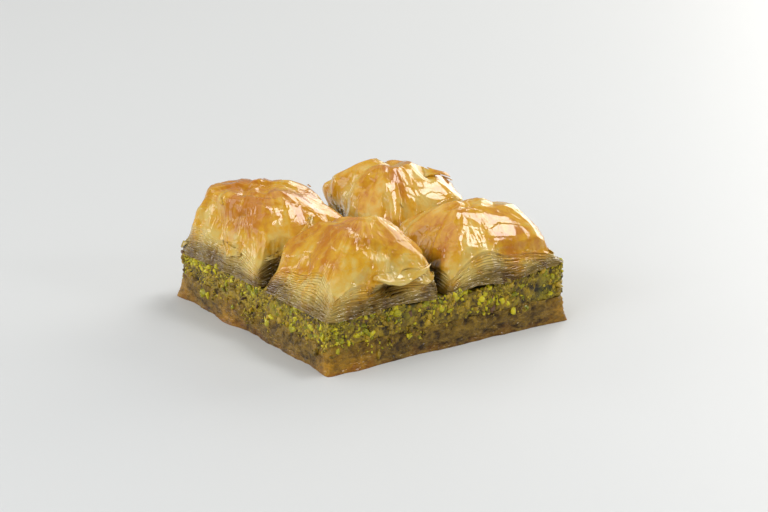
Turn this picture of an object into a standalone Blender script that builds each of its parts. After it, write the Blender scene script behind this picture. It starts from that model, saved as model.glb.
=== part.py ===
"""A portion of pistachio baklava: four domed squares cut from one tray, still joined at the base.

The base is a stack of syrup-soaked pastry leaves. Chopped pistachio lies on it as one thick layer. Four
puffed tops of crisp leaves stand on the nuts, parted by two knife cuts that cross near the middle.
Lengths are in metres, +Z is up, and the origin is the centre of the underside.
"""

import math
import random
from collections import namedtuple

import bmesh
import bpy
from mathutils import Euler, Matrix, Vector, noise

MM = 0.001

# The whole portion
HALF_SIDE = 40.0 * MM
BASE_TOP = 7.1 * MM
FILLING_FOOT = 7.4 * MM
FILLING_TOP = 14.0 * MM
TOP_FOOT = 14.45 * MM

# The two knife cuts, and the open width of each at the level of the nuts
CUT_X = -1.7 * MM
CUT_X_WIDTH = 2.8 * MM
CUT_Y = -4.8 * MM
CUT_Y_WIDTH = 1.5 * MM

# How far the foot of the tops stands in from the outline of the base
TOP_INSET = 0.35 * MM
LEFT_EDGE = -HALF_SIDE + TOP_INSET
RIGHT_EDGE = HALF_SIDE - TOP_INSET
BEFORE_CUT_X = CUT_X - CUT_X_WIDTH / 2
AFTER_CUT_X = CUT_X + CUT_X_WIDTH / 2
BEFORE_CUT_Y = CUT_Y - CUT_Y_WIDTH / 2
AFTER_CUT_Y = CUT_Y + CUT_Y_WIDTH / 2

# A place where a top bulges or draws in: its direction from the middle in degrees, its height as a share
# of the whole, how far out it stands in millimetres, and how wide and tall it is
Bulge = namedtuple("Bulge", "turn height out width tall")

# A sharp fold in the skin, from one point to another seen from above, with its height and half width, all
# in millimetres
Ridge = namedtuple("Ridge", "x0 y0 x1 y1 rise width")

# One puffed top: the rectangle of its foot, the height of its crown, how far the crown leans, the way
# to the outer corner, how much its sides slope and how full its crown is, and where its noise starts
Dome = namedtuple("Dome", "x0 x1 y0 y1 peak lean_x lean_y out_x out_y taper fullness seed bulges ridges")
DOMES = {
    "top_front": Dome(
        LEFT_EDGE, BEFORE_CUT_X, LEFT_EDGE, BEFORE_CUT_Y, 35.2 * MM, 3.6 * MM, -0.4 * MM, -1, -1, 0.9, 1.0, 3.1,
        (Bulge(115, 0.6, 2.0, 32, 0.3),),
        (Ridge(-22, -20, -15, -27, 1.0, 5), Ridge(-15, -27, -5, -30, 0.9, 4), Ridge(-22, -20, -31, -9, 0.9, 4),
         Ridge(-21, -25, -38, -38, 0.9, 6), Ridge(-18, -28, -21, -38, 0.7, 4))),
    "top_right": Dome(
        AFTER_CUT_X, RIGHT_EDGE, LEFT_EDGE, BEFORE_CUT_Y, 33.1 * MM, -1.4 * MM, 1.4 * MM, 1, -1, 0.95, 1.1, 11.7,
        (Bulge(322, 0.75, 3.4, 36, 0.32),),
        (Ridge(11, -25, 31, -34, 1.2, 4), Ridge(13, -26, 15, -37, 1.0, 3), Ridge(4, -17, 16, -20, 1.0, 4),
         Ridge(20, -20, 37, -24, 0.8, 5))),
    "top_left": Dome(
        LEFT_EDGE, BEFORE_CUT_X, AFTER_CUT_Y, RIGHT_EDGE, 35.0 * MM, -0.6 * MM, 0.6 * MM, -1, 1, 0.9, 1.7, 23.9,
        (Bulge(146, 0.97, 4.0, 38, 0.15),),
        (Ridge(-13, 16, -9, 4, 1.1, 4), Ridge(-19, 18, -16, 1, 0.9, 3), Ridge(-22, 16, -25, 1, 0.8, 5),
         Ridge(-30, 20, -39, 12, 0.8, 5))),
    "top_back": Dome(
        AFTER_CUT_X, RIGHT_EDGE, AFTER_CUT_Y, RIGHT_EDGE, 35.8 * MM, -2.8 * MM, 0.8 * MM, 1, 1, 1.25, 1.1, 37.3,
        (Bulge(326, 0.75, 4.8, 36, 0.28), Bulge(146, 0.18, -7.5, 32, 0.3)),
        (Ridge(15, 14, 3, 3, 0.9, 3), Ridge(16, 12, 9, -2, 0.9, 2.5), Ridge(17, 11, 15, -3, 0.8, 2.5),
         Ridge(12, 21, 1, 28, 0.8, 4))),
}

# Form of a top. The outer sides slope evenly to a nearly flat crown, the sides along the cuts are fuller.
OUTER_SLOPE = 0.46
INNER_SLOPE = 0.28
OUTER_ROUNDNESS = 8.0
INNER_ROUNDNESS = 3.2
FOOT_SQUARENESS = 18.0
CROWN_SQUARENESS = 2.9
CORNER_DROOP = 0.05
SWAY = 1.0 * MM
SWAY_LENGTH = 17.0 * MM

# Leaves that show at the sides of a top, drawn in packs
TOP_POINTS = 48
LEAF_PACKS = 6
PACK_SHARE = 0.52
PACK_LIP = 0.5 * MM
PACK_GROOVE = 0.35 * MM
PACK_WAVE = 0.5 * MM
PACK_WAVE_LENGTH = 9.0 * MM
RAGGEDNESS = 0.5 * MM
RAG_LENGTH = 4.5 * MM

# The browned skin over the crown, with its lip and creases
SKIN_LIP = 0.5 * MM
SKIN_RINGS = (0.93, 0.86, 0.79, 0.71, 0.62, 0.53, 0.43, 0.32, 0.2, 0.08)
CREASE_HEIGHT = 1.0 * MM
CREASES_ROUND = 2.3
DENT_HEIGHT = 0.9 * MM
DENT_LENGTH = 8.0 * MM

# The rim of a top follows the nuts below it, and gapes open along one crack
RIM_WIDTH = 3.5 * MM
CRACK = Vector((9.0, -40.0, 0)) * MM
CRACK_HALF_LENGTH = 8.0 * MM
CRACK_HEIGHT = 1.3 * MM

# A pocket where the leaves have sprung apart, on the near side of the front square
POCKET_CENTRE = Vector((-17.5, -37.5, 20.2)) * MM
POCKET_HALF_LENGTH = 7.0 * MM
POCKET_HALF_HEIGHT = 2.1 * MM
POCKET_DEPTH = 2.6 * MM

# Base leaves
BASE_POINTS = 100
BASE_SQUARENESS = 60.0
BASE_LEVELS = 6
BASE_RELIEF = 0.35 * MM
BASE_WAVE_LENGTH = 9.0 * MM

# Chopped pistachio: the bumpy side of the layer, and the places where its upper edge rises or sinks
FILLING_HALF = 39.1 * MM
FILLING_POINTS = 112
FILLING_LEVELS = 4
FILLING_BUMP = 0.45 * MM
FILLING_BUMP_LENGTH = 2.6 * MM
FILLING_RIM = 3.0 * MM
Swell = namedtuple("Swell", "x y rise spread")
SWELLS = (
    Swell(38 * MM, -40 * MM, 2.0 * MM, 15 * MM),
    Swell(-17 * MM, -40 * MM, 0.8 * MM, 9 * MM),
    Swell(-40 * MM, 38 * MM, -1.5 * MM, 13 * MM),
    Swell(40 * MM, 30 * MM, 1.0 * MM, 16 * MM),
    Swell(8 * MM, 40 * MM, -0.8 * MM, 14 * MM),
)

# Larger bits of nut that stand out of the layer
BIT_RADII = (0.85 * MM, 1.25 * MM)
BITS_PER_SIDE = 15
BITS_PER_CUT = 7
BIT_FLATNESS = (0.7, 1.0)
BIT_CLEARANCE = 0.35 * MM
BIT_SINK = 0.45
BIT_SEED = 20


def clear_scene():
    for old in list(bpy.data.objects):
        bpy.data.objects.remove(old)


def pastry_material(name, colour, roughness):
    material = bpy.data.materials.new(name)
    material.use_nodes = True
    shader = material.node_tree.nodes["Principled BSDF"]
    shader.inputs["Base Color"].default_value = (*colour, 1.0)
    shader.inputs["Roughness"].default_value = roughness
    shader.inputs["Metallic"].default_value = 0.0
    return material


def mix(start, end, share):
    return start + (end - start) * share


def ripple(x, y, z, length, seed):
    """Smooth noise from -1 to 1 whose bumps are about one length across."""
    return noise.noise(Vector((x / length + seed, y / length - seed, z / length + 2 * seed)))


def square_angles(count):
    """Directions to points evenly spaced along the sides of a square, corners included."""
    angles = []
    for i in range(count):
        side, along = divmod(4 * i / count, 1)
        angles.append(math.atan2(2 * along - 1, 1) + side * math.pi / 2)
    return angles


def rounded_square(angle, squareness):
    """Distance from the centre of a rounded square of half width 1 to its edge."""
    across = abs(math.cos(angle)) ** squareness + abs(math.sin(angle)) ** squareness
    return across ** (-1 / squareness)


def cornerness(angle):
    """0 at the middle of a side and 1 at a corner."""
    across = sorted((abs(math.cos(angle)), abs(math.sin(angle))))
    return (across[0] / across[1]) ** 2


def nut_swell(x, y):
    """How far the upper edge of the nuts stands above or below its usual height."""
    return sum(swell.rise * math.exp(-((x - swell.x) ** 2 + (y - swell.y) ** 2) / swell.spread ** 2)
               for swell in SWELLS)


def loft(rings):
    """A closed skin drawn up through rings of points. Both ends are capped."""
    bm = bmesh.new()
    turn = bm.verts.layers.int.new("turn")
    foot = bmesh.ops.create_circle(bm, cap_ends=True, segments=len(rings[0]), radius=1)["verts"]
    for i, vert in enumerate(foot):
        vert[turn] = i
        vert.co = rings[0][i]
    edges = list(bm.edges)
    for ring in rings[1:]:
        grown = bmesh.ops.extrude_edge_only(bm, edges=edges)["geom"]
        edges = [item for item in grown if isinstance(item, bmesh.types.BMEdge)]
        for vert in {end for edge in edges for end in edge.verts}:
            vert.co = ring[vert[turn]]
    bmesh.ops.edgeloop_fill(bm, edges=edges)
    bmesh.ops.triangulate(bm, faces=bm.faces)
    bmesh.ops.recalc_face_normals(bm, faces=bm.faces)
    return bm


def add_object(name, bm, material):
    mesh = bpy.data.meshes.new(name)
    bm.to_mesh(mesh)
    bm.free()
    mesh.materials.append(material)
    mesh.shade_smooth()
    mesh.set_sharp_from_angle(angle=math.radians(35))
    made = bpy.data.objects.new(name, mesh)
    bpy.context.scene.collection.objects.link(made)
    return made


def middle_of(dome):
    return Vector(((dome.x0 + dome.x1) / 2, (dome.y0 + dome.y1) / 2, 0))


def side_share(dome, angle, height):
    """Half width at a height, as a share of the half width of the foot."""
    towards_corner = (math.cos(angle) * dome.out_x + math.sin(angle) * dome.out_y) / math.sqrt(2)
    outer = 0.5 + 0.5 * towards_corner
    slope = mix(INNER_SLOPE, OUTER_SLOPE, outer) * dome.taper
    roundness = mix(INNER_ROUNDNESS, OUTER_ROUNDNESS, outer) * dome.fullness
    return (1 - slope * height) * math.sqrt(1 - height ** roundness)


def bulge_out(dome, angle, height, share):
    """How far the bulges of a top stand a point out. They die away at the peak."""
    total = 0.0
    for bulge in dome.bulges:
        turned = (math.degrees(angle) - bulge.turn + 180) % 360 - 180
        near = (turned / bulge.width) ** 2 + ((height - bulge.height) / bulge.tall) ** 2
        total += bulge.out * MM * math.exp(-near)
    return total * min(1.0, 4 * share)


def ridge_rise(dome, point):
    """How high the sharpest fold near a point stands, from nothing to its full height along its crest."""
    rise = 0.0
    for ridge in dome.ridges:
        start = Vector((ridge.x0, ridge.y0)) * MM
        along = Vector((ridge.x1, ridge.y1)) * MM - start
        share = max(0.0, min(1.0, (point.xy - start).dot(along) / along.length_squared))
        off = (point.xy - start - along * share).length / (ridge.width * MM)
        rise = max(rise, ridge.rise * MM * (1 - off))
    return rise


def dome_point(dome, angle, height, proud):
    """A point of a top's surface. The height is a share of the whole, proud stands the point out."""
    reach = rounded_square(angle, mix(FOOT_SQUARENESS, CROWN_SQUARENESS, height ** 0.6))
    share = side_share(dome, angle, height)
    half_x, half_y = (dome.x1 - dome.x0) / 2, (dome.y1 - dome.y0) / 2
    middle = middle_of(dome)
    sway = SWAY * height * share * ripple(middle.x + half_x * math.cos(angle),
                                          middle.y + half_y * math.sin(angle), 0, SWAY_LENGTH, dome.seed)
    stand = sway + bulge_out(dome, angle, height, share) + proud
    x = middle.x + dome.lean_x * height + math.cos(angle) * (reach * share * half_x + stand)
    y = middle.y + dome.lean_y * height + math.sin(angle) * (reach * share * half_y + stand)
    droop = 1 - CORNER_DROOP * cornerness(angle) * share
    return Vector((x, y, TOP_FOOT + (dome.peak - TOP_FOOT) * height * droop))


def pocket_depth(point):
    """How far the sprung pocket draws a point in."""
    off = point - POCKET_CENTRE
    apart = (off.x / POCKET_HALF_LENGTH) ** 2 + (off.z / POCKET_HALF_HEIGHT) ** 2
    near = abs(off.y) < POCKET_HALF_LENGTH
    return POCKET_DEPTH * (1 - apart) if near and apart < 1 else 0.0


def inside_outline(point):
    """The point drawn in so that it stands no further out than the base."""
    limit = HALF_SIDE - 0.05 * MM
    return Vector((max(-limit, min(limit, point.x)), max(-limit, min(limit, point.y)), point.z))


def rim_rise(point):
    """How far the rim of a top stands above the level underside at a point of its foot."""
    swell = nut_swell(point.x, point.y)
    from_edge = HALF_SIDE - max(abs(point.x), abs(point.y))
    at_edge = max(0.0, 1 - from_edge / RIM_WIDTH)
    off = (point - CRACK).xy.length / CRACK_HALF_LENGTH
    gape = CRACK_HEIGHT * (1 - off ** 2) if off < 1 else 0.0
    return max(1.2 * swell, 0.8 * swell * at_edge) + gape


def underside_ring(dome, angles):
    """The level underside stands in from the foot by the width of the rim."""
    middle = middle_of(dome)
    share = 1 - 2 * RIM_WIDTH / (dome.x1 - dome.x0)
    ring = []
    for angle in angles:
        foot = dome_point(dome, angle, 0, 0)
        inner = middle + (foot - middle) * share
        ring.append(Vector((inner.x, inner.y, TOP_FOOT)))
    return ring


def side_ring(dome, angles, height, offset, pack):
    """One ring of a top's side. Its edge is ragged, in step with the leaf pack that it belongs to."""
    ring = []
    for angle in angles:
        smooth = dome_point(dome, angle, height, 0)
        rag = RAGGEDNESS * ripple(smooth.x, smooth.y, 3 * pack * MM, RAG_LENGTH, dome.seed)
        fade = 1 + ripple(smooth.x, smooth.y, 5 * pack * MM, PACK_WAVE_LENGTH, dome.seed + 5)
        point = dome_point(dome, angle, height, offset * fade + rag)
        wave = PACK_WAVE * ripple(smooth.x, smooth.y, pack * MM, PACK_WAVE_LENGTH, dome.seed + 9)
        point.z += wave * min(1, 4 * height) + rim_rise(smooth) * (1 - height) ** 4
        inward = (smooth.xy - middle_of(dome).xy).normalized().to_3d()
        ring.append(inside_outline(point - inward * pocket_depth(smooth)))
    return ring


def skin_height(step):
    """Height of a ring of the skin. The step is 1 at the lip and 0 at the peak, evenly across."""
    return 1 - (1 - PACK_SHARE) * step ** 2


def crease(dome, angle, step, point):
    """Creases that run down from the crown, and the broad dents between them."""
    across = Vector((math.cos(angle), math.sin(angle), 0)) * CREASES_ROUND
    fold = 0.4 - 2 * abs(noise.noise(across + Vector((dome.seed, 0, 0.8 * step))))
    dent = ripple(point.x, point.y, 0, DENT_LENGTH, dome.seed)
    return CREASE_HEIGHT * fold * step ** 1.5 + DENT_HEIGHT * dent


def skin_ring(dome, angles, step, offset):
    """One ring of the browned skin over the crown. Its folds stand out at the sides and up on the crown."""
    ring = []
    side = step ** 2
    for angle in angles:
        smooth = dome_point(dome, angle, skin_height(step), 0)
        rise = ridge_rise(dome, smooth)
        point = dome_point(dome, angle, skin_height(step), offset + rise * side)
        point.z += rise * (1 - side) + crease(dome, angle, step, smooth)
        ring.append(inside_outline(point))
    return ring


def make_top(name, dome, material):
    angles = square_angles(TOP_POINTS)
    rings = [underside_ring(dome, angles)]
    for pack in range(LEAF_PACKS):
        low = PACK_SHARE * pack / LEAF_PACKS
        high = PACK_SHARE * (pack + 0.7) / LEAF_PACKS
        lip = PACK_LIP * min(1, pack)
        rings.append(side_ring(dome, angles, low, lip, pack))
        rings.append(side_ring(dome, angles, high, -PACK_GROOVE, pack))
    rings.append(skin_ring(dome, angles, 1, SKIN_LIP))
    rings += [skin_ring(dome, angles, step, 0) for step in SKIN_RINGS]
    return add_object(name, loft(rings), material)


def square_ring(half, angles, place):
    """A ring round the whole portion. Place gives how far in and how high each of its points is."""
    ring = []
    for angle in angles:
        across = Vector((math.cos(angle), math.sin(angle), 0))
        edge = across * half * rounded_square(angle, BASE_SQUARENESS)
        inset, z = place(edge)
        ring.append(edge - across * inset + Vector((0, 0, z)))
    return ring


def base_level(level):
    """Where the points of one level of the base's side are."""
    def place(edge):
        wave = ripple(edge.x, edge.y, level * BASE_WAVE_LENGTH / 2, BASE_WAVE_LENGTH, 5.5)
        inset = BASE_RELIEF * (1 + wave + 0.8 * (level % 2))
        return inset, BASE_TOP * level / BASE_LEVELS
    return place


def make_base(material):
    """Soaked leaves: level upon level, each a little in or out of the next, on a flat underside."""
    angles = square_angles(BASE_POINTS)
    rings = [square_ring(HALF_SIDE, angles, lambda edge: (0.0, 0.0))]
    rings += [square_ring(HALF_SIDE, angles, base_level(level + 1)) for level in range(BASE_LEVELS)]
    return add_object("base_pastry", loft(rings), material)


def filling_level(share):
    """Where the points of one level of the filling's side are, from its foot at 0 to its top at 1."""
    def place(edge):
        top = FILLING_TOP + nut_swell(edge.x, edge.y)
        z = mix(FILLING_FOOT, top, share)
        return FILLING_BUMP * ripple(edge.x, edge.y, z, FILLING_BUMP_LENGTH, 8.2), z
    return place


def filling_core():
    """The pressed layer of chopped nuts: a bumpy side, an uneven upper edge, and a level top inside it."""
    angles = square_angles(FILLING_POINTS)
    levels = [level / (FILLING_LEVELS - 1) for level in range(FILLING_LEVELS)]
    rings = [square_ring(FILLING_HALF, angles, filling_level(share)) for share in levels]
    rings.append(square_ring(FILLING_HALF, angles, lambda edge: (FILLING_RIM, FILLING_TOP)))
    return loft(rings)


def bit_spots(draw):
    """Centres and sizes of the larger bits: along the four sides, then on top along one cut."""
    spread = 2 * (FILLING_HALF - 2.5 * MM)
    for side in range(4):
        turn = Matrix.Rotation(side * math.pi / 2, 3, "Z")
        for i in range(BITS_PER_SIDE):
            radius = draw.uniform(*BIT_RADII)
            along = ((i + draw.uniform(0.15, 0.85)) / BITS_PER_SIDE - 0.5) * spread
            spot = turn @ Vector((FILLING_HALF - BIT_SINK * radius, along, 0))
            top = FILLING_TOP + min(0.0, nut_swell(spot.x, spot.y))
            spot.z = draw.uniform(FILLING_FOOT + radius + BIT_CLEARANCE, top - radius)
            yield spot, radius
    for i in range(BITS_PER_CUT):
        along = ((i + draw.uniform(0.3, 0.7)) / BITS_PER_CUT - 0.5) * spread
        radius = CUT_X_WIDTH / 2 - BIT_CLEARANCE
        yield Vector((CUT_X, along, FILLING_TOP - 0.3 * radius)), radius


def nut_bit(name, centre, radius, draw):
    """One chopped bit of nut, a rough lump of few faces."""
    flat = [radius * draw.uniform(*BIT_FLATNESS) for _ in range(3)]
    turned = Euler([draw.uniform(0, math.tau) for _ in range(3)]).to_matrix().to_4x4()
    place = Matrix.Translation(centre) @ turned @ Matrix.Diagonal((*flat, 1))
    bm = bmesh.new()
    bmesh.ops.create_icosphere(bm, subdivisions=1, radius=1, matrix=place)
    mesh = bpy.data.meshes.new(name)
    bm.to_mesh(mesh)
    bm.free()
    return bpy.data.objects.new(name, mesh)


def apply_modifiers(made):
    bpy.context.view_layer.update()
    evaluated = made.evaluated_get(bpy.context.evaluated_depsgraph_get())
    joined = bpy.data.meshes.new_from_object(evaluated)
    made.modifiers.clear()
    made.data = joined


def make_filling(material):
    """The nut layer and its larger bits, fused into one solid."""
    draw = random.Random(BIT_SEED)
    core = add_object("pistachio_filling", filling_core(), material)
    bits = bpy.data.collections.new("nut_bits")
    bpy.context.scene.collection.children.link(bits)
    for i, (centre, radius) in enumerate(bit_spots(draw)):
        bits.objects.link(nut_bit(f"bit_{i:02d}", centre, radius, draw))
    join = core.modifiers.new("join_bits", "BOOLEAN")
    join.operation = "UNION"
    join.operand_type = "COLLECTION"
    join.collection = bits
    join.solver = "EXACT"
    apply_modifiers(core)
    for bit in list(bits.objects):
        bpy.data.objects.remove(bit)
    bpy.data.collections.remove(bits)
    return core


def main():
    clear_scene()
    crisp = pastry_material("crisp_pastry", (0.62, 0.33, 0.09), 0.3)
    nuts = pastry_material("chopped_pistachio", (0.22, 0.20, 0.04), 0.55)
    soaked = pastry_material("soaked_pastry", (0.27, 0.17, 0.05), 0.35)
    make_base(soaked)
    make_filling(nuts)
    for name, dome in DOMES.items():
        make_top(name, dome, crisp)


main()
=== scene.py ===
"""Looks of a portion of pistachio baklava: crisp glazed tops, chopped nuts and a syrup-soaked base.

Lengths are in metres. The portion stands on the floor at z = 0, with its wide near side along X.
"""

import math
import random
from collections import namedtuple

import bmesh
import bpy
from mathutils import Euler, Matrix, Vector, noise


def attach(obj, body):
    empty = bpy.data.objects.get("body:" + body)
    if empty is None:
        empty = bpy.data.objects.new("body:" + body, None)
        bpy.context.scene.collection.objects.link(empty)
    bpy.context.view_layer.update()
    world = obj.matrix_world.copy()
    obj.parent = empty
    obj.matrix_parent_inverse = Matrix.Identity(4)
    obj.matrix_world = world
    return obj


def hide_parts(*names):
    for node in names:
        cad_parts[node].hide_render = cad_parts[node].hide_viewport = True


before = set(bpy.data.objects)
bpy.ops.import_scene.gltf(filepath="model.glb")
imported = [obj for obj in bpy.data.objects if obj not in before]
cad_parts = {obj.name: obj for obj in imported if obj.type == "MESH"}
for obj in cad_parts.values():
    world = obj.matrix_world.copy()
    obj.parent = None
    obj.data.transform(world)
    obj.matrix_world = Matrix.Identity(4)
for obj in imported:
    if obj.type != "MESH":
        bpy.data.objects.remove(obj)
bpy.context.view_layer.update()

MM = 0.001

# The whole portion and its two knife cuts, as in the solids
HALF_SIDE = 40.0 * MM
BASE_TOP = 7.1 * MM
FILLING_FOOT = 7.2 * MM
FILLING_TOP = 14.0 * MM
FILLING_HALF = 39.1 * MM
TOP_FOOT = 14.45 * MM
CUT_X = -1.7 * MM
CUT_X_WIDTH = 2.8 * MM
CUT_Y = -4.8 * MM
CUT_Y_WIDTH = 1.5 * MM
TOP_INSET = 0.35 * MM
LEFT_EDGE = -HALF_SIDE + TOP_INSET
RIGHT_EDGE = HALF_SIDE - TOP_INSET
BEFORE_CUT_X = CUT_X - CUT_X_WIDTH / 2
AFTER_CUT_X = CUT_X + CUT_X_WIDTH / 2
BEFORE_CUT_Y = CUT_Y - CUT_Y_WIDTH / 2
AFTER_CUT_Y = CUT_Y + CUT_Y_WIDTH / 2

# No leaf stands further out than this, and the lights aim at this height
STANDS_OUT = 1.2 * MM
AIM_HEIGHT = 20.0 * MM

# A place where a top bulges or draws in: its direction from the middle in degrees, its height as a share
# of the whole, how far out it stands in millimetres, and how wide and tall it is
Bulge = namedtuple("Bulge", "turn height out width tall")

# A sharp fold in the skin, from one point to another seen from above, in millimetres. Left and right are
# how far its two flanks reach, seen along the fold.
Ridge = namedtuple("Ridge", "x0 y0 x1 y1 rise left right")

# A place baked darker or, below nothing, paler than the skin round it, in millimetres
Patch = namedtuple("Patch", "x y radius amount")

# A piece of leaf that has come loose from a top. Turn and height are its middle, wide and tall its size,
# skew how much higher one end lies, and lift how far its free lower edge stands off, in millimetres.
Sheet = namedtuple("Sheet", "turn height wide tall skew lift")

# A flat facet of the taut skin. Turn is the way it faces and tilt how far it leans from level, in degrees,
# and depth how much of the dome it takes off, in millimetres.
Flat = namedtuple("Flat", "turn tilt depth")

# The four puffed tops, as in the solids
Dome = namedtuple("Dome", "x0 x1 y0 y1 peak lean_x lean_y out_x out_y taper fullness seed"
                          " bulges ridges patches flats sheets")
DOMES = {
    "top_front": Dome(
        LEFT_EDGE, BEFORE_CUT_X, LEFT_EDGE, BEFORE_CUT_Y,
        35.2 * MM, 3.6 * MM, -0.4 * MM, -1, -1, 0.9, 1.0, 3.1,
        (Bulge(115, 0.6, 2.0, 32, 0.3),),
        (Ridge(-31, -9, -22, -20, 1.0, 5, 2), Ridge(-22, -20, -15, -27, 1.1, 6, 2),
         Ridge(-15, -27, -5, -30, 0.9, 5, 3), Ridge(-21, -25, -38, -38, 0.9, 6, 6),
         Ridge(-18, -28, -21, -38, 0.7, 4, 4), Ridge(-27, -22, -37, -25, 0.7, 4, 3),
         Ridge(-13, -28, -10, -38, 0.6, 3, 3)),
        (Patch(-27, -23, 6, 0.45), Patch(-14, -31, 6, 0.25), Patch(-34, -14, 6, 0.15)),
        (Flat(-30, 40, 1.1), Flat(-75, 42, 0.9), Flat(-125, 48, 0.9), Flat(180, 46, 0.8), Flat(60, 30, 0.8)),
        (Sheet(281, 0.39, 60, 0.16, 0.0, 1.7), Sheet(306, 0.3, 30, 0.12, -0.02, 1.0))),
    "top_right": Dome(
        AFTER_CUT_X, RIGHT_EDGE, LEFT_EDGE, BEFORE_CUT_Y,
        33.1 * MM, -1.4 * MM, 1.4 * MM, 1, -1, 0.95, 1.1, 11.7,
        (Bulge(322, 0.75, 3.4, 36, 0.32),),
        (Ridge(11, -25, 31, -34, 1.3, 4, 3), Ridge(13, -26, 15, -37, 1.1, 3, 3),
         Ridge(4, -17, 16, -20, 1.0, 4, 3), Ridge(20, -20, 37, -24, 0.8, 5, 5),
         Ridge(9, -26, 7, -38, 0.6, 1.8, 1.8), Ridge(26, -30, 24, -39, 0.6, 4, 4)),
        # The paler patch at (9, -36) is partly painted light falling there
        (Patch(8, -24, 7, 0.2), Patch(9, -36, 6, -0.25), Patch(20, -30, 5, 0.15), Patch(25, -22, 7, -0.1),
         Patch(24, -39, 11, 0.3)),
        (Flat(-40, 45, 1.3), Flat(-95, 37, 1.6), Flat(195, 42, 1.3), Flat(90, 35, 1.0)),
        (Sheet(318, 0.3, 8, 0.12, 0.0, 0.8), Sheet(316, 0.1, 7, 0.1, 0.0, 0.8))),
    "top_left": Dome(
        LEFT_EDGE, BEFORE_CUT_X, AFTER_CUT_Y, RIGHT_EDGE,
        35.0 * MM, -0.6 * MM, 0.6 * MM, -1, 1, 0.9, 1.7, 23.9,
        (Bulge(146, 0.97, 4.0, 38, 0.15),),
        (Ridge(-34, 28, -12, 15.5, 1.3, 8, 0.9), Ridge(-13, 16, -9, 4, 1.1, 4, 3),
         Ridge(-19, 18, -16, 1, 0.9, 3, 3), Ridge(-22, 16, -25, 1, 0.9, 5, 4),
         Ridge(-30, 20, -39, 12, 0.8, 5, 5), Ridge(-33, 24, -40, 26, 0.7, 4, 4)),
        (Patch(-32, 11, 5.5, 0.5), Patch(-19, 7, 5, 0.3), Patch(-37, 24, 6, -0.15), Patch(-20, 24, 11, 0.45)),
        (Flat(-42, 26, 0.8), Flat(-100, 46, 1.0), Flat(-150, 56, 0.5), Flat(60, 35, 1.0)),
        (Sheet(258, 0.5, 64, 0.12, 0.2, 0.3), Sheet(195, 0.3, 26, 0.12, -0.04, 0.4),
         Sheet(138, 0.07, 6, 0.12, 0.0, 0.9), Sheet(131, 0.05, 4, 0.08, 0.0, 1.1))),
    "top_back": Dome(
        AFTER_CUT_X, RIGHT_EDGE, AFTER_CUT_Y, RIGHT_EDGE,
        35.8 * MM, -2.8 * MM, 0.8 * MM, 1, 1, 1.25, 1.1, 37.3,
        (Bulge(326, 0.75, 4.8, 36, 0.28), Bulge(146, 0.18, -7.5, 32, 0.3)),
        (Ridge(15, 14, 3, 3, 0.9, 3, 3), Ridge(16, 12, 9, -2, 0.9, 2.5, 2.5),
         Ridge(17, 11, 15, -3, 0.8, 2.5, 2.5), Ridge(12, 21, 1, 28, 0.8, 4, 4),
         Ridge(14, 16, 1, 14, 0.7, 3, 3)),
        # The paler patch at (23, 7) is partly a painted highlight
        (Patch(13, 9, 6, 0.25), Patch(23, 7, 6, -0.4), Patch(30, 1, 4, -0.1), Patch(3, 18, 8, -0.3)),
        (Flat(-40, 36, 1.1), Flat(-95, 42, 0.9), Flat(-150, 45, 0.9), Flat(100, 35, 1.0), Flat(30, 40, 1.0)),
        (Sheet(326, 0.86, 20, 0.1, 0.0, 1.6), Sheet(338, 0.74, 18, 0.1, 0.05, 1.0))),
}
OUTER_SLOPE = 0.46
INNER_SLOPE = 0.28
OUTER_ROUNDNESS = 8.0
INNER_ROUNDNESS = 3.2
FOOT_SQUARENESS = 18.0
CROWN_SQUARENESS = 2.9
CORNER_DROOP = 0.05
SWAY = 1.0 * MM
SWAY_LENGTH = 17.0 * MM
RIM_WIDTH = 3.5 * MM

# Leaves of pastry that show at the side of a top: real ones are 0.15 mm thick and half a millimetre apart
TOP_POINTS = 440
LEAVES = 16
LEAF_CROWDING = 1.1
LEAF_THICKNESS = 0.15 * MM
LEAF_GAP = 0.65 * MM
LEAF_GAP_LENGTH = 4.0 * MM
LEAVES_IN_A_PACK = 3.7
PACK_WANDER_LENGTH = 18.0 * MM
LEAF_RAG = 0.8 * MM
LEAF_RAG_LENGTH = 3.2 * MM
LEAF_FRAY = 0.35 * MM
LEAF_FRAY_LENGTH = 1.0 * MM
LEAF_WAVE = 1.8 * MM
LEAF_WAVE_LENGTH = 11.0 * MM
LEAF_FLUTTER = 0.55 * MM
LEAF_FLUTTER_LENGTH = 2.6 * MM

# How clearly the leaves part on the outer sides of the portion, and on the sides along the cuts
CRISP_NEAR_SIDE = 1.0
CRISP_RIGHT_SIDE = 0.9
CRISP_FAR_SIDE = 0.8
CRISP_LEFT_SIDE = 0.4
CRISP_IN_CUTS = 0.3

# At one place the leaves hang smooth and wrinkled, like wet cloth
DRAPE = Vector((-40, -28)) * MM
DRAPE_SPREAD = 11.0 * MM

# The browned skin over the crown, with its folds, dents and fine wrinkles. Facets press it nearly flat.
SKIN_FOOT = 0.42
SKIN_FOOT_SPREAD = 0.16
CORNER_DRAPE = 0.4
SKIN_RINGS = 100
SKIN_LIP = 0.35 * MM
FLAT_SHARE = 0.8
CREASE_HEIGHT = 0.8 * MM
CREASES_ROUND = 2.3
DENT_HEIGHT = 0.35 * MM
DENT_LENGTH = 8.0 * MM
FOLDS = 6
FOLD_HEIGHT = 0.9 * MM
FOLD_LENGTHS = (6.0 * MM, 18.0 * MM)
WRINKLE_HEIGHT = 0.2 * MM
WRINKLE_WIDTH = 1.5 * MM
WRINKLE_LENGTH = 6.0 * MM
TEAR_HEIGHT = 0.05 * MM
TEAR_LENGTH = 9.0 * MM

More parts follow.
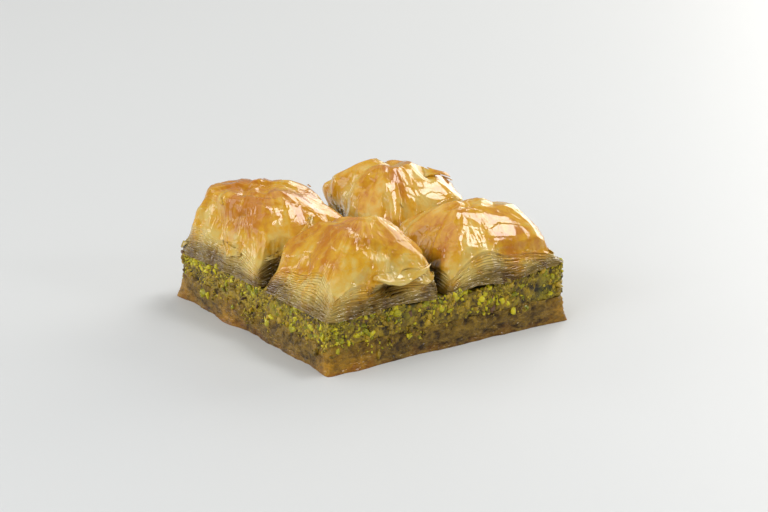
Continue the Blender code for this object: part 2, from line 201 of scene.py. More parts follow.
# How dark the skin is baked, from 0 to 1: at its foot, how much more at the crown, and how much that varies
# in clouds, in freckles and in streaks down the sides
FOOT_BROWNING = 0.08
CROWN_BROWNING = 0.4
CLOUDS = 0.55
CLOUD_SIZE = 7.5 * MM
FRECKLES = 0.22
FRECKLE_SIZE = 2.8 * MM
STREAKS = 0.3
STREAK_WIDTH = 2.2 * MM
STREAK_LENGTH = 9.0 * MM

# Up to here the leaves are grey with syrup, and higher along the knife cuts, where the grey is partly painted
# shade
SOAK_HEIGHT = 17.5 * MM
SOAK_WANDER = 3.5 * MM
CUT_SOAK_AND_SHADE = 4.0 * MM

# Lower edges of leaves that lap over each other on the upper sides, as shares of a top's height
LAPS = (0.52, 0.65, 0.79)
LAP_WANDER = 0.09
LAP_HEIGHT = 0.13 * MM
LAP_REACH = 0.14

# A sheet wider than this, in degrees, needs a finer mesh. Each top has some loose pieces of leaf besides
# those listed, and these are the limits of their six measures.
WIDE_SHEET = 15
CHANCE_SHEETS = 5
CHANCE_SHEET_LIMITS = ((0, 360), (0.05, 0.85), (3, 8), (0.02, 0.06), (-0.05, 0.05), (0.2, 0.5))

# The rim of a top gapes open along one crack, and the leaves have sprung apart at one pocket
CRACK = Vector((9.0, -40.0, 0)) * MM
CRACK_HALF_LENGTH = 8.0 * MM
CRACK_HEIGHT = 1.3 * MM
POCKET_CENTRE = Vector((-18.0, -37.5, 19.4)) * MM
POCKET_HALF_LENGTH = 8.5 * MM
POCKET_HALF_HEIGHT = 2.4 * MM
POCKET_DEPTH = 3.2 * MM
HOOD_OUT = 1.3 * MM
HOOD_HEIGHT = 1.8 * MM

# Places where the upper edge of the nuts rises or sinks, as in the solids
Swell = namedtuple("Swell", "x y rise spread")
SWELLS = [Swell(*[size * MM for size in sizes]) for sizes in (
    (38, -40, 2.0, 15), (-17, -40, 0.8, 9), (-40, 38, -1.5, 13), (40, 30, 1.0, 16), (8, 40, -0.8, 14))]

# The soaked base and the pressed nuts, whose sides run all round the portion
SIDE_POINTS = 1000
SIDE_SQUARENESS = 60.0
BASE_RINGS = 40
BASE_LEAF = 0.7 * MM
BASE_RELIEF = 0.4 * MM
BASE_RIM = 1.3 * MM
BASE_TOP_INSET = 1.2 * MM
BASE_DRAW_IN = 0.8 * MM
FOOT_WAVE = 1.5 * MM
SYRUP_LIP = 1.1 * MM
FILLING_RINGS = 26
FILLING_RIM = 3.0 * MM
CHUNK = 1.35 * MM
CHUNK_RELIEF = 0.7 * MM
CLUMP = 3.2 * MM
CLUMP_RELIEF = 0.6 * MM
MEAL_GRAIN = 0.6 * MM
MEAL_RELIEF = 0.25 * MM

# Syrup has pooled at these places along the foot of the base, in millimetres
SYRUP_POOLS = (Vector((40, -40, 3)), Vector((-40, -40, 1.5)), Vector((-40, 40, 1.5)), Vector((-30, -40, 0)),
               Vector((-40, 12, 0)), Vector((20, 40, 1)))
SYRUP_SPREAD = 5.0

# Chopped pistachio, each kind with its number of pieces, radii, fineness, flatness and knife faces
Crumbs = namedtuple("Crumbs", "name count radii fineness flatness cuts")
KERNEL_BITS = Crumbs("pistachio_kernel_bits", 640, (0.5 * MM, 1.6 * MM), 2, 0.75, 4)
BROWN_BITS = Crumbs("pistachio_brown_bits", 800, (0.5 * MM, 1.4 * MM), 2, 0.7, 4)
MEAL_BITS = Crumbs("pistachio_meal", 7000, (0.2 * MM, 0.5 * MM), 1, 0.7, 1)
SKIN_BITS = Crumbs("pistachio_skins", 200, (0.6 * MM, 1.2 * MM), 2, 0.35, 1)
CRUMB_DENTS = 0.4
KNIFE_FACE = 0.55
BEFORE_CUTTING = 1.1

# How evenly the bits lie, how strongly they bunch, and how far they cling over the rims above and below
SCATTERED = 0.38
BUNCHED = 2.0
OVER_RIM = 0.7 * MM
SPILL = 6.5 * MM
NUT_SPILL = 4.5 * MM
NUT_SPILL_SPREAD = 7.0 * MM
NUT_SPILLS = (Vector((-40, -40)) * MM, Vector((-22, -40)) * MM, Vector((-40, -6)) * MM)

# The nuts are greenest, and thickest with bits, at this corner
FRESH_CORNER = Vector((40, -40)) * MM
FRESH_SPREAD = 13.0 * MM


def mix(start, end, share):
    return start + (end - start) * share


def ease(value, low, high):
    """0 below low, 1 above high, and a soft rise between."""
    share = max(0.0, min(1.0, (value - low) / (high - low)))
    return share * share * (3 - 2 * share)


def ripple(point, length, seed):
    """Smooth noise from -1 to 1 whose bumps are about one length across."""
    return noise.noise(Vector((
        point.x / length + seed, point.y / length - seed, point.z / length + 2 * seed)))


def square_angles(count):
    """Directions to points evenly spaced along the sides of a square, corners included."""
    angles = []
    for i in range(count):
        side, along = divmod(4 * i / count, 1)
        angles.append(math.atan2(2 * along - 1, 1) + side * math.pi / 2)
    return angles


def cornerness(angle):
    """0 at the middle of a side and 1 at a corner."""
    across = sorted((abs(math.cos(angle)), abs(math.sin(angle))))
    return (across[0] / across[1]) ** 2


def nut_swell(x, y):
    """How far the upper edge of the nuts stands above or below its usual height."""
    return sum(swell.rise * math.exp(-((x - swell.x) ** 2 + (y - swell.y) ** 2) / swell.spread ** 2)
               for swell in SWELLS)


def inside_outline(point):
    """The point drawn in so that it stands hardly further out than the base."""
    limit = HALF_SIDE + STANDS_OUT
    return Vector((max(-limit, min(limit, point.x)), max(-limit, min(limit, point.y)), point.z))


# A surface point carries what its material needs to know besides its place
# The edge value paints light and shade: high gives a paler leaf edge, partly a painted highlight, and low
# gives painted shade in gaps, cuts, the pocket and between nut chunks
Spot = namedtuple("Spot", "place browning edge soak")
TRAITS = ("browning", "edge", "soak")


def loft(rings):
    """A closed skin drawn up through rings of spots: a sheet rolled up, joined and capped at both ends."""
    turns = len(rings[0])
    bm = bmesh.new()
    layers = [bm.verts.layers.float.new(trait) for trait in TRAITS]
    bmesh.ops.create_grid(bm, x_segments=turns, y_segments=len(rings) - 1, size=1)
    bm.verts.ensure_lookup_table()
    seam = {}
    for i, vert in enumerate(bm.verts):
        row, column = divmod(i, turns + 1)
        spot = rings[row][column % turns]
        vert.co = spot.place
        for layer, value in zip(layers, spot[1:]):
            vert[layer] = value
        if column == turns:
            seam[vert] = bm.verts[i - turns]
    bmesh.ops.weld_verts(bm, targetmap=seam)
    bmesh.ops.edgeloop_fill(bm, edges=[edge for edge in bm.edges if edge.is_boundary])
    bmesh.ops.recalc_face_normals(bm, faces=bm.faces)
    return bm


def put_in_scene(name, data):
    made = bpy.data.objects.new(name, data)
    bpy.context.scene.collection.objects.link(made)
    return made


def mesh_object(name, bm, material):
    mesh = bpy.data.meshes.new(name)
    bm.to_mesh(mesh)
    bm.free()
    mesh.materials.append(material)
    return put_in_scene(name, mesh)


def add_piece(name, bm, material, replaces=()):
    """A smooth piece of the portion, in place of the solids it is named for."""
    made = mesh_object(name, bm, material)
    made.data.shade_smooth()
    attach(made, "root")
    if replaces:
        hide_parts(*replaces)


# What is fixed for one direction round a top
Way = namedtuple("Way", "cos sin rim slope roundness corner sway skin_foot crisp in_cut drape bulges")


def middle_of(dome):
    return Vector(((dome.x0 + dome.x1) / 2, (dome.y0 + dome.y1) / 2, 0))


def crisp_at(dome, cos, sin):
    """How clearly the leaves part in one direction round a top."""
    across_x = CRISP_IN_CUTS
    if cos * dome.out_x > 0:
        across_x = CRISP_RIGHT_SIDE if cos > 0 else CRISP_LEFT_SIDE
    across_y = CRISP_IN_CUTS
    if sin * dome.out_y > 0:
        across_y = CRISP_FAR_SIDE if sin > 0 else CRISP_NEAR_SIDE
    return mix(across_y, across_x, cos ** 8 / (cos ** 8 + sin ** 8))


def way_at(dome, angle):
    cos, sin = math.cos(angle), math.sin(angle)
    outer = 0.5 + 0.5 * (cos * dome.out_x + sin * dome.out_y) / math.sqrt(2)
    rim = middle_of(dome) + Vector(((dome.x1 - dome.x0) / 2 * cos, (dome.y1 - dome.y0) / 2 * sin, 0))
    corner = cornerness(angle)
    skin_foot = SKIN_FOOT + SKIN_FOOT_SPREAD * ripple(rim, 12 * MM, dome.seed + 3)
    crisp = crisp_at(dome, cos, sin)
    drape = 0.85 * near_any(rim, (DRAPE,), DRAPE_SPREAD)
    bulges = []
    for bulge in dome.bulges:
        turned = (math.degrees(angle) - bulge.turn + 180) % 360 - 180
        bulges.append((bulge.out * MM * math.exp(-(turned / bulge.width) ** 2), bulge.height, bulge.tall))
    return Way(
        cos, sin, rim,
        slope=mix(INNER_SLOPE, OUTER_SLOPE, outer) * dome.taper,
        roundness=mix(INNER_ROUNDNESS, OUTER_ROUNDNESS, outer) * dome.fullness,
        corner=corner,
        sway=SWAY * ripple(rim, SWAY_LENGTH, dome.seed),
        skin_foot=skin_foot * (1 - CORNER_DRAPE * corner ** 2),
        crisp=crisp * (1 - drape),
        in_cut=1 - ease(crisp, CRISP_IN_CUTS, CRISP_IN_CUTS + 0.08),
        drape=drape,
        bulges=bulges,
    )


def top_point(dome, way, height, proud):
    """A point of a top's surface. The height is a share of the whole, proud stands the point out."""
    squareness = mix(FOOT_SQUARENESS, CROWN_SQUARENESS, height ** 0.6)
    reach = (abs(way.cos) ** squareness + abs(way.sin) ** squareness) ** (-1 / squareness)
    share = (1 - way.slope * height) * math.sqrt(1 - height ** way.roundness)
    bulged = sum(out * math.exp(-((height - at) / tall) ** 2) for out, at, tall in way.bulges)
    stand = way.sway * height * share + bulged * min(1.0, 4 * share) + proud
    middle = middle_of(dome)
    x = middle.x + dome.lean_x * height + way.cos * (reach * share * (dome.x1 - dome.x0) / 2 + stand)
    y = middle.y + dome.lean_y * height + way.sin * (reach * share * (dome.y1 - dome.y0) / 2 + stand)
    droop = 1 - CORNER_DROOP * way.corner * share
    return Vector((x, y, TOP_FOOT + (dome.peak - TOP_FOOT) * height * droop))


def tilt_at(dome, way, height):
    """How much of a rise from the surface goes outwards and how much upwards."""
    left = max(1e-6, 1 - height ** way.roundness)
    change = -way.slope * math.sqrt(left)
    change -= (1 - way.slope * height) * way.roundness * height ** (way.roundness - 1) / (2 * math.sqrt(left))
    run = change * (dome.x1 - dome.x0) / 2
    climb = dome.peak - TOP_FOOT
    length = math.hypot(run, climb)
    return climb / length, -run / length


def ridge_rise(dome, point):
    """How high the sharpest fold near a point stands, from nothing to its full height along its crest."""
    rise = 0.0
    x, y = point.x / MM, point.y / MM
    for ridge in dome.ridges:
        along_x, along_y = ridge.x1 - ridge.x0, ridge.y1 - ridge.y0
        length = math.hypot(along_x, along_y)
        share = ((x - ridge.x0) * along_x + (y - ridge.y0) * along_y) / length ** 2
        beyond = length * max(0.0, -share, share - 1)
        side = ((x - ridge.x0) * along_y - (y - ridge.y0) * along_x) / length
        off = math.hypot(side, beyond) / (ridge.right if side > 0 else ridge.left)
        rise = max(rise, ridge.rise * MM * (1 - off))
    return rise


Plane = namedtuple("Plane", "normal limit")


def planes_of(dome):
    """The planes that cut a top's facets, each set in from the furthest point of the smooth form."""
    planes = []
    ways = [way_at(dome, math.tau * i / 60) for i in range(60)]
    for flat in dome.flats:
        turn, tilt = math.radians(flat.turn), math.radians(flat.tilt)
        normal = Vector((math.sin(tilt) * math.cos(turn), math.sin(tilt) * math.sin(turn), math.cos(tilt)))
        furthest = max(top_point(dome, way, i / 30, 0).dot(normal) for way in ways for i in range(31))
        planes.append(Plane(normal, furthest - flat.depth * MM))
    return planes


def flatten(point, planes):
    """The point pressed most of the way back to any facet that it stands out of."""
    for plane in planes:
        over = point.dot(plane.normal) - plane.limit
        if over > 0:
            point = point - plane.normal * over * FLAT_SHARE
    return point


Fold = namedtuple("Fold", "way length weight phase")


def folds_of(dome):
    """The directions, sizes and starts of the folds that crush one top."""
    draw = random.Random(int(dome.seed * 10))
    folds = []
    for i in range(FOLDS):
        turn = draw.uniform(0, math.tau)
        way = Vector((math.cos(turn), math.sin(turn), draw.uniform(-0.4, 0.4)))
        length = mix(*FOLD_LENGTHS, (i / (FOLDS - 1)) ** 1.3)
        folds.append(Fold(way, length, length / FOLD_LENGTHS[1], draw.random()))
    return folds


def crumple(point, folds, seed):
    """Straight ridges with flat sides between, as in a crushed sheet, from about -1 to 1."""
    warp = 1.1 * ripple(point, 16 * MM, seed)
    total = 0.0
    for i, fold in enumerate(folds):
        phase = point.dot(fold.way) / fold.length + fold.phase + warp
        ridge = 1 - 4 * abs(phase % 1 - 0.5)
        fade = max(0.0, 0.4 + 1.4 * ripple(point, 1.4 * fold.length, seed + 5 + i))
        total += fold.weight * ridge * fade
    return total


def relief_at(dome, folds, way, height, smooth):
    """How far folds, creases, dents and wrinkles raise the smooth form of a top."""
    across = Vector((way.cos, way.sin, 0)) * CREASES_ROUND
    spread = 1 - height ** 6
    crease = 0.4 - 2 * abs(noise.noise(across + Vector((dome.seed, 0, 0.8 * (1 - height)))))
    crease *= CREASE_HEIGHT * spread * ease(height, 0.05, 0.5)
    dent = DENT_HEIGHT * ripple(smooth, DENT_LENGTH, dome.seed + 1)
    fold = FOLD_HEIGHT * crumple(smooth, folds, dome.seed) * mix(0.45, 1.0, ease(height, 0.1, 0.6))
    fine = Vector((way.rim.x / WRINKLE_WIDTH, way.rim.y / WRINKLE_WIDTH,
                   smooth.z / WRINKLE_LENGTH + dome.seed))
    patchy = max(0.15, 0.6 + 1.2 * ripple(smooth, 10 * MM, dome.seed + 19))
    wrinkle = WRINKLE_HEIGHT * (1 - 3 * abs(noise.noise(fine))) * spread * patchy * (1 + 1.5 * way.drape)
    return ridge_rise(dome, smooth) + crease + dent * ease(height, 0.0, 0.3) + fold + wrinkle


def pocket_depth(point):
    """How far the sprung pocket draws a point in. The leaves arching over it stand out instead."""
    off = point - POCKET_CENTRE
    if abs(off.y) > POCKET_HALF_LENGTH or abs(off.x) > POCKET_HALF_LENGTH:
        return 0.0
    arch = 1 - (off.x / POCKET_HALF_LENGTH) ** 2
    opening = POCKET_HALF_HEIGHT * math.sqrt(arch)
    if abs(off.z) < opening:
        return POCKET_DEPTH * arch * math.sqrt(1 - abs(off.z) / opening)
    over = (off.z - opening) / HOOD_HEIGHT
    return -HOOD_OUT * arch * (1 - over) if 0 <= over < 1 else 0.0


def rim_rise(point):
    """How far the rim of a top stands above the level underside at a point of its foot."""
    swell = nut_swell(point.x, point.y)
    from_edge = HALF_SIDE - max(abs(point.x), abs(point.y))
    at_edge = max(0.0, 1 - from_edge / RIM_WIDTH)
    off = (point - CRACK).xy.length / CRACK_HALF_LENGTH
    gape = CRACK_HEIGHT * (1 - off ** 2) if off < 1 else 0.0
    return max(1.2 * swell, 0.8 * swell * at_edge) + gape


def browning_at(dome, way, point):
    """How dark a place on a top is baked: the crown most, with cloudy patches and streaks down the sides."""
    base = FOOT_BROWNING + CROWN_BROWNING * ease(point.z, 18 * MM, 32 * MM)
    cloud = CLOUDS * ripple(point, CLOUD_SIZE, dome.seed + 2)
    cloud += FRECKLES * ripple(point, FRECKLE_SIZE, dome.seed + 4)
    down = Vector((way.rim.x / STREAK_WIDTH, way.rim.y / STREAK_WIDTH, point.z / STREAK_LENGTH))
    cloud += STREAKS * noise.noise(down + Vector((dome.seed, 0, 0)))
    spot = 0.0
    for patch in dome.patches:
        off = math.hypot(point.x / MM - patch.x, point.y / MM - patch.y) / patch.radius
        spot += patch.amount * math.exp(-off ** 2)
    return max(0.0, min(1.0, base + cloud + spot))


def soak_at(dome, way, point):
    """How grey and wet the lowest leaves are, and those along the knife cuts, where it is partly painted
    shade.
    """
    edge = SOAK_HEIGHT + SOAK_WANDER * ripple(point, 9 * MM, dome.seed + 6) + CUT_SOAK_AND_SHADE * way.in_cut
    return 1 - ease(point.z, edge - 2.5 * MM, edge + 3.0 * MM)


def painted_light_at(way, point):
    """How much painted light a place keeps: all of it outside, and painted shade at the foot of a knife cut.
    """
    return mix(1.0, ease(point.z, 17 * MM, 26 * MM), way.in_cut)


def crispness(dome, way, height, smooth):
    """How clearly the leaves part at a place: low down and on the near side most."""
    top = 0.5 + 0.35 * ripple(smooth, 9 * MM, dome.seed + 15)
    patchy = 0.75 + 0.9 * ripple(smooth, 5 * MM, dome.seed + 16)
    return max(0.0, min(1.0, way.crisp * patchy * (1 - ease(height, top - 0.3, top + 0.2))))


def leaf_gap(dome, leaf, crisp, smooth, tone):
    """How far the gap under a leaf reaches in. The leaves part in packs."""
    packed = leaf / LEAVES_IN_A_PACK + ripple(smooth, PACK_WANDER_LENGTH, dome.seed + 17)
    pack = 1 + 0.8 * math.cos(math.tau * packed)
    return LEAF_GAP * crisp * pack * max(0.1, 0.5 + 1.1 * ripple(tone, LEAF_GAP_LENGTH, dome.seed + 1))


def leaf_fringe(dome, crisp, tone):
    """How far the torn edge of a leaf stands out or draws in."""
    rag = LEAF_RAG * ripple(tone, LEAF_RAG_LENGTH, dome.seed + 7)
    fray = LEAF_FRAY * ripple(tone, LEAF_FRAY_LENGTH, dome.seed + 8)
    return (rag + fray) * mix(0.3, 1.0, crisp)


def leaf_wave(dome, leaf, smooth, tone):
    """How far the edge of a leaf waves up and down."""
    wave = LEAF_WAVE * ripple(smooth + Vector((0, 0, 0.3 * MM * leaf)), LEAF_WAVE_LENGTH, dome.seed + 9)
    return wave + LEAF_FLUTTER * ripple(tone, LEAF_FLUTTER_LENGTH, dome.seed + 10)


def leaf_spots(dome, way, folds, leaf):
    """One leaf's edge in section: the gap under it, its lower and upper corner, and its upper face."""
    height = way.skin_foot * (leaf / LEAVES) ** LEAF_CROWDING
    above = way.skin_foot * ((leaf + 1) / LEAVES) ** LEAF_CROWDING
    smooth = top_point(dome, way, height, 0)
    side, up = tilt_at(dome, way, height)
    crisp = crispness(dome, way, height, smooth)
    tone = smooth + Vector((0, 0, 3 * MM * leaf))
    gap = leaf_gap(dome, leaf, crisp, smooth, tone)
    relief = relief_at(dome, folds, way, height, smooth)
    pocket = pocket_depth(smooth)
    out = relief * side + leaf_fringe(dome, crisp, tone) - pocket
    free = min(1.0, leaf / 3) * (1 - leaf / LEAVES)
    lift = leaf_wave(dome, leaf, smooth, tone) * free + rim_rise(smooth) * (1 - height) ** 4 + relief * up
    browning = browning_at(dome, way, smooth) + 0.15 * ripple(tone, 14 * MM, dome.seed + 11)
    soak = soak_at(dome, way, smooth)
    # Painted shade inside the sprung pocket and at the foot of the knife cuts
    painted_light_share = (1 - 0.8 * max(0.0, pocket) / POCKET_DEPTH) * painted_light_at(way, smooth)
    parted = crisp * (1 - 0.75 * soak)
    # Darker in the gap under each leaf, as painted shade, and paler at its edge, partly a painted highlight
    for at, stand, rise, edge in (
        (height, out - gap, 0.0, 0.5 - 0.5 * parted),
        (height, out, -0.08 * MM * free, 0.5 + 0.4 * parted),
        (height, out, LEAF_THICKNESS * mix(0.4, 1.0, crisp), 0.5 + 0.5 * parted),
        (mix(height, above, 0.6), out - 0.4 * gap, 0.0, 0.5),
    ):
        point = top_point(dome, way, at, stand)
        point.z += lift + rise
        yield Spot(inside_outline(point), browning, edge * painted_light_share, soak)


def leaf_rings(dome, ways, folds, leaf):
    """The four rings of one leaf's edge, lowest first."""
    return list(zip(*[leaf_spots(dome, way, folds, leaf) for way in ways]))


def lap_at(dome, way, height):
    """How far a lapping leaf stands out at a place of the skin, and how near its edge is."""
    out, brink = 0.0, 0.0
    for i, at in enumerate(LAPS):
        low = at + LAP_WANDER * ripple(way.rim, 9 * MM, dome.seed + 20 + i)
        low += 0.25 * LAP_WANDER * ripple(way.rim, 1.6 * MM, dome.seed + 30 + i)
        above = height - low
        if 0 < above < LAP_REACH:
            strength = max(0.0, 0.25 + 0.25 * way.crisp + 1.3 * ripple(way.rim, 7 * MM, dome.seed + 40 + i))
            out += LAP_HEIGHT * min(1.0, strength) * (1 - above / LAP_REACH)
            brink = max(brink, min(1.0, strength) * (1 - above / 0.02))
    return out, brink


def skin_ring(dome, ways, folds, planes, step):
    """One ring of the browned skin. The step is 1 at its lip and 0 at the peak."""
    ring = []
    for way in ways:
        height = 1 - (1 - way.skin_foot) * step ** 2
        smooth = top_point(dome, way, height, 0)
        side, up = tilt_at(dome, way, height)
        torn = ripple(smooth, TEAR_LENGTH, dome.seed + 12) + 0.06 * ripple(smooth, 1.2 * MM, dome.seed)
        tear = TEAR_HEIGHT * (ease(torn, -0.02, 0.02) + ease(torn, 0.22, 0.26))
        brink = max(0.0, 1 - abs(torn - 0.03) / 0.03, 1 - abs(torn - 0.27) / 0.03)
        lap, lap_brink = lap_at(dome, way, height)
        brink = max(brink, lap_brink)
        lip = SKIN_LIP * ease(step, 0.96, 1.0) * way.crisp - max(0.0, pocket_depth(smooth))
        relief = relief_at(dome, folds, way, height, smooth)
        point = flatten(top_point(dome, way, height, relief * side) + Vector((0, 0, relief * up)), planes)
        point += Vector((way.cos * side, way.sin * side, up)) * (tear + lip + lap)
        # Paler along torn and lapped brinks, partly a painted highlight, with painted shade at the foot of a
        # knife cut
        browning = browning_at(dome, way, smooth) + 0.08 * (torn > 0.0) - 0.1 * brink
        edge = (0.5 + 0.25 * brink) * painted_light_at(way, smooth)
        ring.append(Spot(inside_outline(point), browning, edge, soak_at(dome, way, smooth)))
    return ring


def underside_ring(dome, ways):
    """The level underside stands in from the foot by the width of the rim."""
    middle = middle_of(dome)
    share = 1 - 2 * RIM_WIDTH / (dome.x1 - dome.x0)
    ring = []
    for way in ways:
        inner = middle + (top_point(dome, way, 0, 0) - middle) * share
        ring.append(Spot(Vector((inner.x, inner.y, TOP_FOOT)), 0.2, 0.0, 1.0))
    return ring


def make_top(name, dome, material):
    ways = [way_at(dome, angle) for angle in square_angles(TOP_POINTS)]
    folds, planes = folds_of(dome), planes_of(dome)
    rings = [underside_ring(dome, ways)]
    for leaf in range(LEAVES):
        rings += leaf_rings(dome, ways, folds, leaf)
    for i in range(SKIN_RINGS):
        rings.append(skin_ring(dome, ways, folds, planes, 1 - 0.985 * i / (SKIN_RINGS - 1)))
    add_piece(f"{name}_leaves", loft(rings), material, (name,))


def chance_sheets(draw):
    """Small loose pieces of leaf, anywhere on the sides and shoulders of a top."""
    for _ in range(CHANCE_SHEETS):
        yield Sheet(*[draw.uniform(*limits) for limits in CHANCE_SHEET_LIMITS])


def sheet_skin(dome, folds, sheet, draw):
    """One loose piece of leaf: it follows the top under it, and its ragged lower edge stands off."""
    bm = bmesh.new()
    layers = [bm.verts.layers.float.new(trait) for trait in TRAITS]
    columns, rows = (14, 7) if sheet.wide > WIDE_SHEET else (5, 3)
    bmesh.ops.create_grid(bm, x_segments=columns, y_segments=rows, size=1)
    start = draw.uniform(0, 50)
    for vert in bm.verts:
        u, v = vert.co.x, vert.co.y
        ragged = 0.35 * noise.noise(Vector((2.5 * u, 2.5 * v, start)))
        narrow = mix(0.75, 1.0, 0.5 + noise.noise(Vector((start, 1.7 * v, 0))))
        turn = math.radians(sheet.turn + 0.5 * sheet.wide * (u * narrow + 0.5 * ragged * abs(u)))
        arched = 1 + (v - 1) * (1 - 0.75 * u * u)
        height = sheet.height + 0.5 * sheet.tall * (arched + ragged * (1 - v)) + sheet.skew * u
        height = max(0.01, min(0.97, height))
        way = way_at(dome, turn)
        smooth = top_point(dome, way, height, 0)
        side, up = tilt_at(dome, way, height)
        free = ((1 - v) / 2) ** 1.5
        stand = relief_at(dome, folds, way, height, smooth) + 0.12 * MM
        stand += sheet.lift * MM * free * (0.7 + 0.6 * noise.noise(Vector((1.6 * u, start, 0))))
        point = top_point(dome, way, height, stand * side)
        point.z += stand * up
        vert.co = inside_outline(point)
        # Paler towards the lifted lower edge, partly a painted highlight
        traits = browning_at(dome, way, smooth), 0.5 + 0.3 * free ** 2, 0.6 * soak_at(dome, way, smooth)
        for layer, value in zip(layers, traits):
            vert[layer] = value
    bmesh.ops.solidify(bm, geom=bm.faces[:], thickness=LEAF_THICKNESS)
    bmesh.ops.recalc_face_normals(bm, faces=bm.faces)
    return bm


def join_all(parts, traits):
    """Many small meshes as one, with the named values that their points carry."""
    whole = bmesh.new()
    for trait in traits:
        whole.verts.layers.float.new(trait)
    carrier = bpy.data.meshes.new("carrier")
    for bm in parts:
        bm.to_mesh(carrier)
        bm.free()
        whole.from_mesh(carrier)
    bpy.data.meshes.remove(carrier)
    return whole


def make_sheets(material):
    draw = random.Random(12)
    parts = []
    for dome in DOMES.values():
        folds = folds_of(dome)
        for sheet in (*dome.sheets, *chance_sheets(draw)):
            parts.append(sheet_skin(dome, folds, sheet, draw))
    add_piece("loose_leaf_flakes", join_all(parts, TRAITS), material)


def side_ring(half, place):
    """A ring round the whole portion. Place gives each point's inset, height, browning, edge and soak."""
    ring = []
    for angle in square_angles(SIDE_POINTS):
        cos, sin = math.cos(angle), math.sin(angle)
        reach = (abs(cos) ** SIDE_SQUARENESS + abs(sin) ** SIDE_SQUARENESS) ** (-1 / SIDE_SQUARENESS)
        edge = Vector((cos, sin, 0)) * half * reach
        inset, z, *traits = place(edge)
        out = edge - Vector((cos, sin, 0)) * inset
        ring.append(Spot(Vector((out.x, out.y, z)), *traits))
    return ring


def syrup_at(point):
    """How much syrup has pooled at a place of the base."""
    return min(1.0, sum(math.exp(-((point / MM - pool).length / SYRUP_SPREAD) ** 2) for pool in SYRUP_POOLS))


def chance_of(point):
    """A number from 0 to 1 that looks random but always belongs to the same place."""
    return math.sin(point.x * 12.9898 + point.y * 78.233 + point.z * 37.719) * 43758.5453 % 1


def nut_relief(at):
    """Chopped nuts pressed together: how far a place stands out, its tone, and how far it is from a gap,
    where it is painted dark: partly syrup, partly shade.
    """
    bent = at + Vector((0.6, 0.6, 0.6)) * MM * ripple(at, 2 * MM, 4.4)
    off, centres = noise.voronoi(bent / CHUNK)
    chunk = off[1] - off[0]
    clump = ripple(at, CLUMP, 2.6) + 0.5 * ripple(at, 0.45 * CLUMP, 9.6)
    grain = 0.5 - noise.voronoi(at / MEAL_GRAIN)[0][0]
    relief = CHUNK_RELIEF * (min(0.5, chunk) - 0.25) + CLUMP_RELIEF * clump + MEAL_RELIEF * grain
    # Darker in gaps between chunks and in sunken clumps: partly dark syrup, partly painted shade
    clear_of_syrup_and_shade = min(1.0, 2.5 * chunk + 0.2) * mix(0.3, 1.0, ease(clump, -0.7, 0.0))
    return relief, mix(chance_of(centres[0]), 0.5 + clump, 0.4), clear_of_syrup_and_shade


def base_spot(share):
    """Where the points of one level of the base's side are, and how they look."""
    def place(edge):
        rim = BASE_RIM * max(0.0, ripple(edge, 9 * MM, 3.5) + 0.2)
        z = (BASE_TOP + rim) * share
        at = edge + Vector((0, 0, z))
        nutty = ease(z + 2.5 * MM * ripple(at, 7 * MM, 5.5), 2.0 * MM, 6.0 * MM)
        relief, tone, chunk = nut_relief(at)
        wave = 1.6 * MM * ripple(at, 15 * MM, 5.5) + 0.3 * MM * ripple(at, 4 * MM, 6.5)
        leaf = math.sin(math.tau * (z + wave) / BASE_LEAF) * (0.5 + 0.5 * ripple(at, 8 * MM, 11.5))
        broad = ripple(Vector((at.x, at.y, 1.8 * at.z)), 4.5 * MM, 7.5)
        fine = ripple(Vector((at.x, at.y, 2.5 * at.z)), 1.3 * MM, 9.5)
        inset = BASE_RELIEF * (1.0 + 1.1 * broad + 0.7 * fine - 0.3 * leaf)
        inset = mix(inset, 0.2 * MM - relief, nutty) + BASE_DRAW_IN * share ** 2
        foot = FOOT_WAVE * max(0.0, ripple(edge, 11 * MM, 21.5) + 0.3 * ripple(edge, 3 * MM, 22.5) + 0.2)
        syrup = syrup_at(at)
        inset = inset * min(1.0, 6 * share) + foot * (1 - share) * (1 - syrup)
        inset -= SYRUP_LIP * syrup * max(0.0, 1 - 1.8 * share)
        # The edge value darkens gaps between nut chunks in the nutty upper part: partly dark syrup, partly
        # painted shade
        return inset, z, tone, mix(1.0, chunk, mix(0.3, 1.0, nutty)), syrup
    return place


def make_base(material):
    rings = [side_ring(HALF_SIDE, base_spot(i / (BASE_RINGS - 1))) for i in range(BASE_RINGS)]
    rings.append(side_ring(HALF_SIDE - BASE_TOP_INSET, lambda edge: (0.0, BASE_TOP, 0.5, 0.0, 0.0)))
    add_piece("soaked_base_leaves", loft(rings), material, ("base_pastry",))


def near_any(point, spots, spread):
    """1 at any of the spots, seen from above, and less further off."""
    return max(math.exp(-((point.xy - spot).length / spread) ** 2) for spot in spots)


def filling_spot(share):
    """Where the points of one level of the nuts' side are, and how they look."""
    def place(edge):
        z = mix(FILLING_FOOT, FILLING_TOP + nut_swell(edge.x, edge.y), share)
        at = edge + Vector((0, 0, z))
        relief, tone, chunk = nut_relief(at)
        fresh = ripple(at, 6 * MM, 8.2) + 0.5 * tone + 0.5 * near_any(at, (FRESH_CORNER,), FRESH_SPREAD)
        fresh -= 0.5 * (1 - share)
        # Painted shade under the leaves overhanging the top of the nuts
        painted_rim_shade = ease(share, 0.75, 1.0) * ease(ripple(edge, 5 * MM, 17.5), -0.1, 0.3)
        return -relief, z, tone, chunk * (1 - 0.85 * painted_rim_shade), ease(fresh, 0.0, 0.6)
    return place


def make_filling(material):
    rings = [side_ring(FILLING_HALF, filling_spot(i / (FILLING_RINGS - 1))) for i in range(FILLING_RINGS)]
    rings.append(side_ring(FILLING_HALF, lambda edge: (FILLING_RIM, FILLING_TOP, 0.5, 0.5, 0.5)))
    add_piece("pressed_pistachio", loft(rings), material, ("pistachio_filling",))


